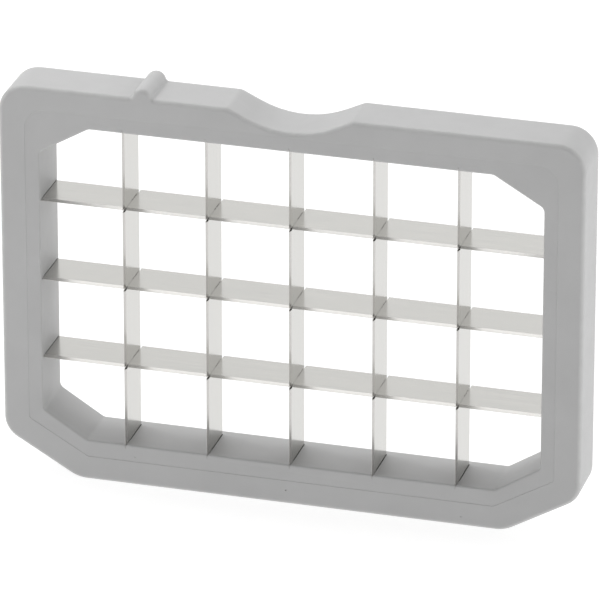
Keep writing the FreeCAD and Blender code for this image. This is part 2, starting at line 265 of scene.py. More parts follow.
# %% [markdown]
# ## The outside of the frame
#
# The frame drops into a pocket of the machine. Its bottom corners slope, a
# shallow notch in the top edge clears the drive shaft, and a half-round rib keys
# it the right way round. The rib joins the top edge through two hollow roots, so
# it is spliced into the outline as three arcs that touch.

# %% Frame outline
RIB_RADIUS = 2.3 * MM
RIB_ROOT_RADIUS = 0.8 * MM
RIB_X = -35.2 * MM
TOP_EDGE = frame_high.z - RIB_RADIUS
TOP_CORNER_RADIUS = 6.5 * MM
FOOT_WIDTH = 18 * MM
FOOT_HEIGHT = 10.4 * MM
FOOT_SIDE_RADIUS = 6 * MM
FOOT_BASE_RADIUS = 8 * MM
NOTCH_HALF_WIDTH = 14.75 * MM
NOTCH_VEE_DEPTH = 7 * MM
NOTCH_END_RADIUS = 3 * MM
NOTCH_FLOOR_RADIUS = 24 * MM


def rib_arcs():
    """Return the key rib's half round with its two hollow roots, from right to left."""
    reach = RIB_RADIUS + RIB_ROOT_RADIUS
    lift = math.asin(RIB_ROOT_RADIUS / reach)
    offset = reach * math.cos(lift)
    root_height = TOP_EDGE + RIB_ROOT_RADIUS
    root_sweep = lift - math.pi / 2
    right_root = arc(Vector((RIB_X + offset, root_height)), RIB_ROOT_RADIUS, -math.pi / 2, root_sweep)
    crown = arc(Vector((RIB_X, TOP_EDGE)), RIB_RADIUS, lift, math.pi - 2 * lift)
    left_root = arc(Vector((RIB_X - offset, root_height)), RIB_ROOT_RADIUS, -lift, root_sweep)
    return right_root + crown[1:-1] + left_root


def frame_outline():
    """Return the outside of the frame, with the notch and the rib in the top edge."""
    side = frame_high.x
    pairs = outline([
        (-side, FOOT_HEIGHT, FOOT_SIDE_RADIUS),
        (-side + FOOT_WIDTH, 0, FOOT_BASE_RADIUS),
        (side - FOOT_WIDTH, 0, FOOT_BASE_RADIUS),
        (side, FOOT_HEIGHT, FOOT_SIDE_RADIUS),
        (side, TOP_EDGE, TOP_CORNER_RADIUS),
        (NOTCH_HALF_WIDTH, TOP_EDGE, NOTCH_END_RADIUS),
        (0, TOP_EDGE - NOTCH_VEE_DEPTH, NOTCH_FLOOR_RADIUS),
        (-NOTCH_HALF_WIDTH, TOP_EDGE, NOTCH_END_RADIUS),
        (-side, TOP_EDGE, TOP_CORNER_RADIUS),
    ])
    before_rib = max(index for index, (point, normal) in enumerate(pairs) if point.x > RIB_X)
    return pairs[:before_rib + 1] + rib_arcs() + pairs[before_rib + 1:]


print("frame outline:", len(frame_outline()), "points")

# %% [markdown]
# ## The opening and the ring
#
# The opening is a rectangle with its corners cut off, so that the corner cells
# stay open to the feed. A thin ring lies flush in the front of the frame round
# it. The ring and its rebate have the same outline, the rebate a hair larger,
# and that hair is the fine seam on the front face.

# %% Opening and ring outlines
RING_SIDE_WIDTH = 3.3 * MM
RING_TOP_WIDTH = 3.6 * MM
RING_BOTTOM_WIDTH = 4.1 * MM
OPENING_HALF_WIDTH = ring_high.x - RING_SIDE_WIDTH
OPENING_TOP = ring_high.z - RING_TOP_WIDTH
OPENING_BOTTOM = ring_low.z + RING_BOTTOM_WIDTH


def opening_outline():
    """Return the opening, a rectangle with cut corners."""
    side = OPENING_HALF_WIDTH
    radius = 1.8 * MM
    return outline(both_sides([
        (side - 10.8 * MM, OPENING_BOTTOM, radius),
        (side, OPENING_BOTTOM + 6.8 * MM, radius),
        (side, OPENING_TOP - 7 * MM, radius),
        (side - 12 * MM, OPENING_TOP, radius),
    ]))


def ring_outline():
    """Return the outside of the retaining ring."""
    side = ring_high.x
    return outline(both_sides([
        (side - 14.3 * MM, ring_low.z, 1 * MM),
        (side, ring_low.z + 8.25 * MM, 1 * MM),
        (side, ring_high.z, 5 * MM),
    ]))


print("opening, mm:", round(2 * OPENING_HALF_WIDTH / MM, 1),
      "x", round((OPENING_TOP - OPENING_BOTTOM) / MM, 1))

# %% [markdown]
# ## Lofting loops into a wall
#
# A wall is a stack of copies of one outline. Each row says how deep the copy
# lies and how far in from the outline, so a quarter circle of rows is an edge
# round. A support row just past each end of a round keeps the round's shading
# from spreading over the flat face beside it. A bevel modifier would round every
# edge alike, but here the front, the rear and the opening have different rounds.

# %% Loft functions
ROUND_STEPS = 6
SUPPORT = 0.06 * MM


def round_rows(y_face, into, radius, wear_and_highlight):
    """Return rows (depth, inset, wear and painted highlight) of an edge round, from the flat face to the
    wall.
    """
    rows = [(y_face, radius + SUPPORT, 0.0)]
    # The last value peaks halfway round: there the edge colour is lighter, partly from wear and partly as a
    # painted highlight.
    for step in range(ROUND_STEPS + 1):
        angle = math.pi / 2 * step / ROUND_STEPS
        rows.append((y_face + into * radius * (1 - math.cos(angle)),
                     radius * (1 - math.sin(angle)), wear_and_highlight * math.sin(2 * angle)))
    rows.append((y_face + into * (radius + SUPPORT), 0.0, 0.0))
    return rows


def loft(mesh, pairs, rows, inward=1):
    """Build a wall of quads along an outline and return its first and last loops."""
    # Each point stores a weight for the lighter edge colour: partly wear, partly a painted highlight.
    wear_and_highlight_layer = mesh.verts.layers.float.get("edge_wear_and_highlight") or mesh.verts.layers.float.new("edge_wear_and_highlight")
    loops = []
    for y, inset, wear_and_highlight in rows:
        loop = []
        for point, normal in pairs:
            place = point - normal * inset * inward
            vertex = mesh.verts.new((place.x, y, place.y))
            vertex[wear_and_highlight_layer] = wear_and_highlight
            loop.append(vertex)
        loops.append(loop)
    for first, second in zip(loops, loops[1:]):
        for index in range(len(first)):
            mesh.faces.new((first[index - 1], first[index], second[index], second[index - 1]))
    return loops[0], loops[-1]


def fill_between(mesh, outer, inner):
    """Fill the flat face between two loops that lie in one plane."""
    edges = []
    for loop in (outer, inner):
        for index in range(len(loop)):
            edges.append(mesh.edges.get((loop[index - 1], loop[index])))
    bmesh.ops.triangle_fill(mesh, edges=edges, use_beauty=True, use_dissolve=False)


def finish_mesh(mesh, name, material):
    """Turn a bmesh into an object at the origin, with outward faces and clean shading."""
    bmesh.ops.remove_doubles(mesh, verts=mesh.verts, dist=0.0005 * MM)
    bmesh.ops.recalc_face_normals(mesh, faces=mesh.faces)
    data = bpy.data.meshes.new(name)
    mesh.to_mesh(data)
    mesh.free()
    data.materials.append(material)
    data.shade_smooth()
    piece = bpy.data.objects.new(name, data)
    bpy.context.scene.collection.objects.link(piece)
    return piece


print("an edge round has", len(round_rows(0, 1, MM, 1)), "rows")

# %% [markdown]
# ## Cutting slots and pits
#
# The blade ends sit in slots cut through the opening's walls. Where the bevelled
# edge of a blade passes through the ring, the slot has the same wedge shape, so
# hardly any gap shows. A boolean modifier suits this, because the walls are flat
# and the cutters are plain prisms, none of which touches another. The pin-prick
# pits that moulding left in the lower rail are cut in the same way.

# %% Prism cutters
def add_prism(mesh, section, axis, start, end):
    """Add a closed prism: section holds (across, depth) points, and axis is X or Z."""
    rings = []
    for along in (start, end):
        ring = []
        for across, depth in section:
            place = (along, depth, across) if axis == "X" else (across, depth, along)
            ring.append(mesh.verts.new(place))
        rings.append(ring)
        mesh.faces.new(ring)
    for index in range(len(section)):
        mesh.faces.new((rings[0][index - 1], rings[0][index], rings[1][index], rings[1][index - 1]))


def slot_section(middle, nose, wedge_end, rear, nose_half, half):
    """Return the section of a slot with a wedge at its front, as (across, depth) points."""
    right = [(nose_half, nose), (nose_half, wedge_end - BEVEL_DEPTH), (half, wedge_end), (half, rear)]
    if nose >= wedge_end - BEVEL_DEPTH:
        right = [(half, nose), (half, rear)]
    return ([(middle + across, depth) for across, depth in right]
            + [(middle - across, depth) for across, depth in reversed(right)])


def cut(piece, cutter_mesh):
    """Subtract the cutter from a piece and keep the plain result."""
    bmesh.ops.recalc_face_normals(cutter_mesh, faces=cutter_mesh.faces)
    data = bpy.data.meshes.new("cutter")
    cutter_mesh.to_mesh(data)
    cutter_mesh.free()
    cutter = bpy.data.objects.new("cutter", data)
    bpy.context.scene.collection.objects.link(cutter)
    modifier = piece.modifiers.new("slots", "BOOLEAN")
    modifier.operation = "DIFFERENCE"
    modifier.solver = "EXACT"
    modifier.object = cutter
    graph = bpy.context.evaluated_depsgraph_get()
    result = bpy.data.meshes.new_from_object(piece.evaluated_get(graph))
    piece.modifiers.clear()
    piece.data = result
    result.set_sharp_from_angle(angle=math.radians(32))
    bpy.data.objects.remove(cutter)


print("cutters: prisms and small balls")

# %% [markdown]
# ## Slots at both ends of every blade
#
# The same two slots repeat along the opening: one shape at the top and bottom
# walls for each upright blade, one at the side walls for each level blade. Each
# end gets a short prism of its own.

# %% End slots
BEVEL_DEPTH = 1.0 * MM
NOSE_CLEARANCE = 0.03 * MM
PAST_OPENING = 2 * MM
PIT_RADIUS = 0.22 * MM


def add_end_slots(mesh, reach, half, upright_range, level_range):
    """Add a prism at both ends of every blade, reaching past the opening's edge."""
    nose_half = half - BLADE_THICKNESS / 2 + NOSE_CLEARANCE
    for index in range(UPRIGHT_COUNT):
        section = slot_section(UPRIGHT_X + CELL_PITCH * index, upright_range[0],
                               upright_low.y + BEVEL_DEPTH, upright_range[1], nose_half, half)
        add_prism(mesh, section, "Z", OPENING_BOTTOM - reach, OPENING_BOTTOM + PAST_OPENING)
        add_prism(mesh, section, "Z", OPENING_TOP - PAST_OPENING, OPENING_TOP + reach)
    for index in range(LEVEL_COUNT):
        section = slot_section(LEVEL_Z + CELL_PITCH * index, level_range[0],
                               level_low.y + BEVEL_DEPTH, level_range[1], nose_half, half)
        for side in (-1, 1):
            add_prism(mesh, section, "X", side * (OPENING_HALF_WIDTH - PAST_OPENING),
                      side * (OPENING_HALF_WIDTH + reach))


def add_pit(mesh, x, z):
    """Add a small ball that leaves a pin-prick pit in the front face."""
    bmesh.ops.create_icosphere(mesh, subdivisions=2, radius=PIT_RADIUS,
                               matrix=Matrix.Translation((x, FRONT, z)))


print("end slots:", 2 * (UPRIGHT_COUNT + LEVEL_COUNT))

# %% [markdown]
# ## The frame
#
# The frame is one moulding with a rebate in its front. It could be a solid with
# the opening subtracted and its edges bevelled, but lofting the outer wall and
# the opening's wall gives every edge the round that it has on the real part. The
# rebate is cut last, because under the notch it runs into the front round. Its
# cutter flares out at the front, which breaks the rebate's edge by a tenth of a
# millimetre, and that keeps the seam a faint line, not a black one.

# %% Frame piece
FRONT_RADIUS = 1.0 * MM
REAR_RADIUS = 2.2 * MM
OPENING_RADIUS = 0.5 * MM
SEAM_BREAK = 0.10 * MM
SEAM_GAP = 0.004 * MM
RING_FRONT = FRONT + SEAM_BREAK
SLOT_REACH = 3.0 * MM
SLOT_GAP = 0.12 * MM         # clearance on each side of a blade
END_GAP = 0.1 * MM           # clearance behind a blade


def make_frame():
    """Build the moulded frame, then cut its rebate and its slots."""
    mesh = bmesh.new()
    # The last number of each round weighs its lighter edge colour, partly wear and partly painted highlight.
    outer_rows = (round_rows(FRONT, 1, FRONT_RADIUS, 1.0)
                  + list(reversed(round_rows(REAR, -1, REAR_RADIUS, 0.6))))
    front_outer, rear_outer = loft(mesh, frame_outline(), outer_rows)
    wall_rows = [(FRONT, 0.0, 0.0)] + list(reversed(round_rows(REAR, -1, OPENING_RADIUS, 0.4)))
    front_inner, rear_inner = loft(mesh, opening_outline(), wall_rows, inward=-1)
    fill_between(mesh, rear_outer, rear_inner)
    fill_between(mesh, front_outer, front_inner)
    piece = finish_mesh(mesh, "moulded_frame", frame_plastic)

    rebate = bmesh.new()
    rebate_rows = [
        (FRONT - MM, SEAM_GAP + SEAM_BREAK + MM, 0.0),
        (RING_FRONT, SEAM_GAP, 0.0),
        (REBATE_FLOOR, SEAM_GAP, 0.0),
    ]
    for loop in loft(rebate, ring_outline(), rebate_rows, inward=-1):
        rebate.faces.new(loop)
    cut(piece, rebate)

    cutter = bmesh.new()
    before_floor = REBATE_FLOOR - MM
    add_end_slots(cutter, SLOT_REACH, BLADE_THICKNESS / 2 + SLOT_GAP,
                  (before_floor, upright_high.y + END_GAP), (before_floor, level_high.y + END_GAP))
    add_pit(cutter, -0.8 * MM, 3.6 * MM)
    add_pit(cutter, 41.5 * MM, 2.4 * MM)
    cut(piece, cutter)
    return piece


moulded_frame = make_frame()
print("frame:", len(moulded_frame.data.polygons), "faces")

# %% [markdown]
# ## The retaining ring
#
# The ring covers the tabs of the blades, which is how the blades stay in. Its
# inner edge is the edge of the opening that is seen from the front, so it
# carries the round there. It is made like the frame, from two lofted walls and
# two flat faces. It sits a tenth of a millimetre below the frame's face, level
# with the foot of the rebate's broken edge.

# %% Ring piece
NOTCH_REACH = 0.9 * MM
NOTCH_GAP = 0.05 * MM
LEVEL_NOTCH_LEAD = 0.06 * MM     # how far a notch starts in front of a level blade


def make_ring():
    """Build the flush ring and cut its blade notches."""
    mesh = bmesh.new()
    # The last number of the round weighs its lighter edge colour, partly wear and partly painted highlight.
    inner_rows = round_rows(RING_FRONT, 1, OPENING_RADIUS, 0.4) + [(REBATE_FLOOR, 0.0, 0.0)]
    front_inner, rear_inner = loft(mesh, opening_outline(), inner_rows, inward=-1)
    outer_rows = [(RING_FRONT, 0.0, 0.0), (REBATE_FLOOR, 0.0, 0.0)]
    front_outer, rear_outer = loft(mesh, ring_outline(), outer_rows)
    fill_between(mesh, front_outer, front_inner)
    fill_between(mesh, rear_outer, rear_inner)
    piece = finish_mesh(mesh, "flush_ring", ring_plastic)

    cutter = bmesh.new()
    behind = REBATE_FLOOR + MM
    add_end_slots(cutter, NOTCH_REACH, BLADE_THICKNESS / 2 + NOTCH_GAP,
                  (FRONT - MM, behind), (level_low.y - LEVEL_NOTCH_LEAD, behind))
    add_pit(cutter, -37.6 * MM, OPENING_BOTTOM - 2.9 * MM)
    cut(piece, cutter)
    return piece


flush_ring = make_ring()
print("ring:", len(flush_ring.data.polygons), "faces")

# %% [markdown]
# ## The blades: polished stainless strip with ground edges
#
# The strips are cold-rolled stainless steel, polished to a soft mirror, with the
# faintest lines along the strip. The cutting bevels are ground across the edge:
# their lines run the other way, and they are a little less smooth than the sides.
# Their tint is also a little lighter: a painted highlight that stands in for the
# light that the ground bevels catch.
# One metal shader does both, because the generator below stores two attributes:
# each point's place on its own strip, and whether a face is ground. An image
# texture would need unwrapping and would blur up close.

# %% Polished stainless steel
ROLL_LINE = 0.12 * MM        # spacing of the rolling lines across the strip
ROLL_LENGTH = 14 * MM        # how far one line runs before it fades
GRIND_LINE = 0.15 * MM       # grinding lines are near 0.03 mm apart; drawn coarser, so that they show
WAVE_SIZE = 9 * MM           # slow waviness of thin strip
STRIP_OFFSET = (0.31, 0.17, 0.07)


def make_steel(name):
    """Build polished stainless with rolled sides and ground bevels."""
    material, tree = new_material(name)
    ground = add_node(tree, "ShaderNodeAttribute", attribute_name="ground_bevel").outputs["Fac"]
    strip = add_node(tree, "ShaderNodeAttribute", attribute_name="strip_place").outputs["Vector"]
    number = add_node(tree, "ShaderNodeAttribute", attribute_name="blade_number").outputs["Vector"]
    along = add_node(tree, "ShaderNodeVectorMath", {0: number, 1: STRIP_OFFSET, 2: strip},
                     operation="MULTIPLY_ADD")
    roll_place = add_node(tree, "ShaderNodeMapping",
                          {"Vector": along, "Scale": (1 / ROLL_LENGTH, 1 / ROLL_LINE, 1 / ROLL_LINE)})
    rolled = add_node(tree, "ShaderNodeTexNoise",
                      {"Vector": roll_place, "Scale": 1.0, "Detail": 3.0, "Roughness": 0.6})
    grind_place = add_node(tree, "ShaderNodeMapping",
                           {"Vector": along, "Scale": (1 / GRIND_LINE, 1 / ROLL_LENGTH, 1 / ROLL_LENGTH)})
    scratched = add_node(tree, "ShaderNodeTexNoise",
                         {"Vector": grind_place, "Scale": 1.0, "Detail": 3.0, "Roughness": 0.6})
    wave = add_node(tree, "ShaderNodeTexNoise", {"Vector": along, "Scale": 1 / WAVE_SIZE, "Detail": 1.0})

    side_tint = add_node(tree, "ShaderNodeValToRGB", {"Fac": rolled})
    side_tint.color_ramp.elements[0].position = 0.3
    side_tint.color_ramp.elements[0].color = linear("#BEBEBB")
    side_tint.color_ramp.elements[1].position = 0.7
    side_tint.color_ramp.elements[1].color = linear("#C7C5C1")
    # The bevel's lighter tint is a painted highlight on the ground faces.
    bevel_highlight_tint = add_node(tree, "ShaderNodeValToRGB", {"Fac": scratched})
    bevel_highlight_tint.color_ramp.elements[0].position = 0.3
    bevel_highlight_tint.color_ramp.elements[0].color = linear("#BFBEBD")
    bevel_highlight_tint.color_ramp.elements[1].position = 0.7
    bevel_highlight_tint.color_ramp.elements[1].color = linear("#CFCDC9")
    tint = add_node(tree, "ShaderNodeMix", {0: ground, 6: side_tint, 7: bevel_highlight_tint}, data_type="RGBA")

    polish = add_node(tree, "ShaderNodeMapRange",
                      {"Value": rolled, "From Min": 0.3, "From Max": 0.7, "To Min": 0.15, "To Max": 0.22})
    roughness = add_node(tree, "ShaderNodeMath", {0: ground, 1: 0.10, 2: polish},
                         operation="MULTIPLY_ADD")
    wavy = add_node(tree, "ShaderNodeBump", {"Height": wave, "Strength": 0.2, "Distance": 0.05 * MM})
    lines = add_node(tree, "ShaderNodeMix", {0: ground, 2: rolled, 3: scratched}, data_type="FLOAT")
    lined = add_node(tree, "ShaderNodeBump",
                     {"Height": lines, "Strength": 0.08, "Distance": 0.002 * MM, "Normal": wavy})
    shader = add_node(tree, "ShaderNodeBsdfPrincipled",
                      {"Base Color": tint.outputs[2], "Metallic": 1.0,
                       "Roughness": roughness, "Normal": lined})
    add_node(tree, "ShaderNodeOutputMaterial", {"Surface": shader})
    return material


blade_steel = make_steel("polished_stainless_strip")
print("steel:", blade_steel.name)

# %% [markdown]
# ## A blade generator in Geometry Nodes
#
# All eight blades follow one rule: a strip with a double bevel in front, a row
# of half-lap slots at the cell pitch, and a step at each end. Eight meshes made
# by hand would repeat the same numbers eight times. One Geometry Nodes tree with
# named inputs makes them all, so a change to the bevel changes every blade. The
# tree grows in four steps, each in a cell of its own.

# %% Generator inputs
BLADE_INPUTS = {
    "Tip To Tip": "NodeSocketFloat",
    "Between Steps": "NodeSocketFloat",
    "Width": "NodeSocketFloat",
    "Thickness": "NodeSocketFloat",
    "Bevel Depth": "NodeSocketFloat",
    "Edge Land": "NodeSocketFloat",
    "Step Depth": "NodeSocketFloat",
    "Lap Count": "NodeSocketInt",
    "Lap Width": "NodeSocketFloat",
    "Lap Length": "NodeSocketFloat",
    "Lap Middle": "NodeSocketFloat",
    "Cell Pitch": "NodeSocketFloat",
    "Blade Count": "NodeSocketInt",
    "Turn": "NodeSocketRotation",
    "First Place": "NodeSocketVector",
    "Step To Next": "NodeSocketVector",
    "Material": "NodeSocketMaterial",
}
blade_tree = bpy.data.node_groups.new("blade_generator", "GeometryNodeTree")
blade_tree.interface.new_socket(name="Geometry", in_out="OUTPUT", socket_type="NodeSocketGeometry")
for socket_name, socket_kind in BLADE_INPUTS.items():
    blade_tree.interface.new_socket(name=socket_name, in_out="INPUT", socket_type=socket_kind)
given = add_node(blade_tree, "NodeGroupInput").outputs
print("generator inputs:", len(BLADE_INPUTS))

# %% [markdown]
# ### Step 1: the strip and its bevel
#
# The strip is a box with one extra row of points along it. That row moves to
# where the bevel ends, and the front row is pinched to the narrow land of the
# cutting edge. Depth is measured from the cutting edge.

# %% Strip with a double bevel
def bevelled_strip(tree):
    """Return the node that gives one plain strip with its front edge ground."""
    size = add_node(tree, "ShaderNodeCombineXYZ",
                    {"X": given["Tip To Tip"], "Y": given["Width"], "Z": given["Thickness"]})
    box = add_node(tree, "GeometryNodeMeshCube",
                   {"Size": size, "Vertices X": 2, "Vertices Y": 3, "Vertices Z": 2})
    here = add_node(tree, "ShaderNodeSeparateXYZ", {0: add_node(tree, "GeometryNodeInputPosition")})
    row = add_node(tree, "ShaderNodeMath", {0: here.outputs["Y"], 1: given["Width"]}, operation="DIVIDE")
    is_front = add_node(tree, "ShaderNodeMath", {0: row, 1: -0.25}, operation="LESS_THAN")
    is_rear = add_node(tree, "ShaderNodeMath", {0: row, 1: 0.25}, operation="GREATER_THAN")
    not_front = add_node(tree, "ShaderNodeMath", {0: 1.0, 1: is_front}, operation="SUBTRACT")
    bevel_or_edge = add_node(tree, "ShaderNodeMath", {0: not_front, 1: given["Bevel Depth"]},
                             operation="MULTIPLY")
    depth = add_node(tree, "ShaderNodeMix", {0: is_rear, 2: bevel_or_edge, 3: given["Width"]},
                     data_type="FLOAT")
    pinch = add_node(tree, "ShaderNodeMath", {0: given["Edge Land"], 1: given["Thickness"]},
                     operation="DIVIDE")
    squeeze = add_node(tree, "ShaderNodeMix", {0: is_front, 2: 1.0, 3: pinch}, data_type="FLOAT")
    height = add_node(tree, "ShaderNodeMath", {0: here.outputs["Z"], 1: squeeze}, operation="MULTIPLY")
    place = add_node(tree, "ShaderNodeCombineXYZ", {"X": here.outputs["X"], "Y": depth, "Z": height})
    return add_node(tree, "GeometryNodeSetPosition", {"Geometry": box, "Position": place})


strip_node = bevelled_strip(blade_tree)
print("after the strip:", len(blade_tree.nodes), "nodes")

# %% [markdown]
# ### Step 2: half-lap slots and end steps
#
# In the workshop the slots are stamped or cut by wire. Here, too, they are cut:
# a line of points at the cell pitch carries one cutter each, and two more
# cutters take the front corners off the ends, which leaves the tabs that the
# ring covers.

# %% Slots and steps
def cut_strip(tree, strip):
    """Return the node that gives the strip with its slots and end steps cut out."""
    lap_size = add_node(tree, "ShaderNodeCombineXYZ",
                        {"X": given["Lap Width"], "Y": given["Lap Length"], "Z": 4 * MM})
    lap_cutter = add_node(tree, "GeometryNodeMeshCube", {"Size": lap_size})
    last_lap = add_node(tree, "ShaderNodeMath", {0: given["Lap Count"], 1: 1.0}, operation="SUBTRACT")
    lap_span = add_node(tree, "ShaderNodeMath", {0: last_lap, 1: given["Cell Pitch"]}, operation="MULTIPLY")
    first_lap = add_node(tree, "ShaderNodeMath", {0: lap_span, 1: -0.5}, operation="MULTIPLY")
    start = add_node(tree, "ShaderNodeCombineXYZ", {"X": first_lap, "Y": given["Lap Middle"]})
    pitch = add_node(tree, "ShaderNodeCombineXYZ", {"X": given["Cell Pitch"]})
    lap_points = add_node(tree, "GeometryNodeMeshLine",
                          {"Count": given["Lap Count"], "Start Location": start, "Offset": pitch},
                          mode="OFFSET")
    laps = add_node(tree, "GeometryNodeInstanceOnPoints", {"Points": lap_points, "Instance": lap_cutter})

    end_width = add_node(tree, "ShaderNodeMath", {0: given["Step Depth"], 1: 2.0}, operation="MULTIPLY")
    end_size = add_node(tree, "ShaderNodeCombineXYZ", {"X": 20 * MM, "Y": end_width, "Z": 4 * MM})
    end_cutter = add_node(tree, "GeometryNodeMeshCube", {"Size": end_size})
    span = add_node(tree, "ShaderNodeMath", {0: given["Between Steps"], 1: 20 * MM}, operation="ADD")
    half_span = add_node(tree, "ShaderNodeMath", {0: span, 1: -0.5}, operation="MULTIPLY")
    end_start = add_node(tree, "ShaderNodeCombineXYZ", {"X": half_span})
    end_offset = add_node(tree, "ShaderNodeCombineXYZ", {"X": span})
    end_points = add_node(tree, "GeometryNodeMeshLine",
                          {"Count": 2, "Start Location": end_start, "Offset": end_offset}, mode="OFFSET")
    ends = add_node(tree, "GeometryNodeInstanceOnPoints", {"Points": end_points, "Instance": end_cutter})

    both = add_node(tree, "GeometryNodeJoinGeometry")
    tree.links.new(laps.outputs[0], both.inputs[0])
    tree.links.new(ends.outputs[0], both.inputs[0])
    cutters = add_node(tree, "GeometryNodeRealizeInstances", {"Geometry": both})
    return add_node(tree, "GeometryNodeMeshBoolean", {"Mesh 1": strip, "Mesh 2": cutters},
                    operation="DIFFERENCE", solver="EXACT")


blade_node = cut_strip(blade_tree, strip_node)
print("after the cuts:", len(blade_tree.nodes), "nodes")

# %% [markdown]
# ### Step 3: what the steel needs to know
#
# Two attributes travel with the blade into the material. The first marks the
# ground faces, those in front of the bevel's end. The second is each point's
# place on the flat strip, stored before the blade is turned, so that the rolling
# lines run along every blade whichever way it stands.

# %% Attributes for the steel
def mark_surface(tree, blade):
    """Return the node that stores the bevel mark and the place on the strip."""
    here = add_node(tree, "GeometryNodeInputPosition")
    depth = add_node(tree, "ShaderNodeSeparateXYZ", {0: here})
    nearly = add_node(tree, "ShaderNodeMath", {0: given["Bevel Depth"], 1: 0.9}, operation="MULTIPLY")
    ground = add_node(tree, "ShaderNodeMath", {0: depth.outputs["Y"], 1: nearly}, operation="LESS_THAN")
    marked = add_node(tree, "GeometryNodeStoreNamedAttribute",
                      {"Geometry": blade, "Name": "ground_bevel", "Value": ground},
                      data_type="FLOAT", domain="FACE")
    return add_node(tree, "GeometryNodeStoreNamedAttribute",
                    {"Geometry": marked, "Name": "strip_place", "Value": here},
                    data_type="FLOAT_VECTOR", domain="POINT")


marked_node = mark_surface(blade_tree, blade_node)
print("after the marks:", len(blade_tree.nodes), "nodes")

# %% [markdown]
# ### Step 4: a row of blades
#
# A second line of points, at the cell pitch, carries one blade each. The copies
# are numbered, so that no two have the same lines, made real, and given the
# steel.

# %% Row of blades
def repeat_blade(tree, blade):
    """End the tree: one blade on each point of a line, realised and given its material."""
    line = add_node(tree, "GeometryNodeMeshLine",
                    {"Count": given["Blade Count"], "Start Location": given["First Place"],
                     "Offset": given["Step To Next"]}, mode="OFFSET")
    copies = add_node(tree, "GeometryNodeInstanceOnPoints",
                      {"Points": line, "Instance": blade, "Rotation": given["Turn"]})
    number = add_node(tree, "GeometryNodeInputIndex")
    numbered = add_node(tree, "GeometryNodeStoreNamedAttribute",
                        {"Geometry": copies, "Name": "blade_number", "Value": number},
                        data_type="FLOAT", domain="INSTANCE")
    real = add_node(tree, "GeometryNodeRealizeInstances", {"Geometry": numbered})
    steel = add_node(tree, "GeometryNodeSetMaterial", {"Geometry": real, "Material": given["Material"]})
    add_node(tree, "NodeGroupOutput", {"Geometry": steel})


repeat_blade(blade_tree, marked_node)
print("whole generator:", len(blade_tree.nodes), "nodes")

# %% [markdown]
# ## The two sets of blades
#
# The upright blades reach the front face and are slotted from the front; the
# level ones lie a little deeper and are slotted from the rear. Slid together,
# each slot reaches the middle of the other blade. The upright slots fit closely,
# the level ones are wider, which shows as a dark line at every crossing.

# %% Run the generator
EDGE_LAND = 0.06 * MM
SHOULDER = 0.8 * MM
LAP_MIDDLE = (level_low.y + upright_high.y) / 2
LAP_CUTTER_LENGTH = 20 * MM
LAP_OVERCUT = 0.05 * MM
UPRIGHT_LAP_GAP = 0.04 * MM
LEVEL_LAP_GAP = 0.14 * MM


def generate_blades(name, sizes):
    """Run the blade generator once and keep its result as a plain mesh."""
    piece = bpy.data.objects.new(name, bpy.data.meshes.new(name))
    modifier = piece.modifiers.new("blades", "NODES")
    modifier.node_group = blade_tree
    for item in blade_tree.interface.items_tree:
        if item.in_out == "INPUT":
            modifier[item.identifier] = sizes[item.name]
    bpy.context.scene.collection.objects.link(piece)
    graph = bpy.context.evaluated_depsgraph_get()
    result = bpy.data.meshes.new_from_object(piece.evaluated_get(graph))
    piece.modifiers.clear()
    piece.data = result
    result.name = name
    result.shade_flat()
    print(name, len(result.polygons), "faces")
    return piece


shared = {
    "Thickness": BLADE_THICKNESS,
    "Bevel Depth": BEVEL_DEPTH,
    "Edge Land": EDGE_LAND,
    "Lap Length": LAP_CUTTER_LENGTH,
    "Cell Pitch": CELL_PITCH,
    "Material": blade_steel,
}

# %% [markdown]
# A blade's own X runs along the strip and its Y is the depth behind the cutting
# edge. A level blade needs no turn; an upright one turns a quarter about Y, which
# leaves its depth alone.

# %% Upright and level blades
upright_blades = generate_blades("upright_blades", shared | {
    "Tip To Tip": upright_high.z - upright_low.z,
    "Between Steps": OPENING_TOP - OPENING_BOTTOM + 2 * SHOULDER,
    "Width": upright_high.y - upright_low.y,
    "Step Depth": REBATE_FLOOR + END_GAP - upright_low.y,
    "Lap Count": LEVEL_COUNT,
    "Lap Width": BLADE_THICKNESS + 2 * UPRIGHT_LAP_GAP,
    "Lap Middle": LAP_MIDDLE + LAP_OVERCUT - upright_low.y - LAP_CUTTER_LENGTH / 2,
    "Blade Count": UPRIGHT_COUNT,
    "Turn": (0, -math.pi / 2, 0),
    "First Place": (UPRIGHT_X, upright_low.y, GRID_CENTRE),
    "Step To Next": (CELL_PITCH, 0, 0),
})
level_blades = generate_blades("level_blades", shared | {
    "Tip To Tip": level_high.x - level_low.x,
    "Between Steps": 2 * (OPENING_HALF_WIDTH + SHOULDER),
    "Width": level_high.y - level_low.y,
    "Step Depth": REBATE_FLOOR + END_GAP - level_low.y,
    "Lap Count": UPRIGHT_COUNT,
    "Lap Width": BLADE_THICKNESS + 2 * LEVEL_LAP_GAP,
    "Lap Middle": LAP_MIDDLE - LAP_OVERCUT - level_low.y + LAP_CUTTER_LENGTH / 2,
    "Blade Count": LEVEL_COUNT,
    "Turn": (0, 0, 0),
    "First Place": (0, level_low.y, LEVEL_Z),
    "Step To Next": (0, 0, CELL_PITCH),
})

# %% [markdown]
# ## Handing the pieces to the frame
#
# Nothing on a dicing grid moves, so every piece rides on the one body. Each row
# lists a piece, the CAD nodes that it stands for, and the name of its finish in the record.

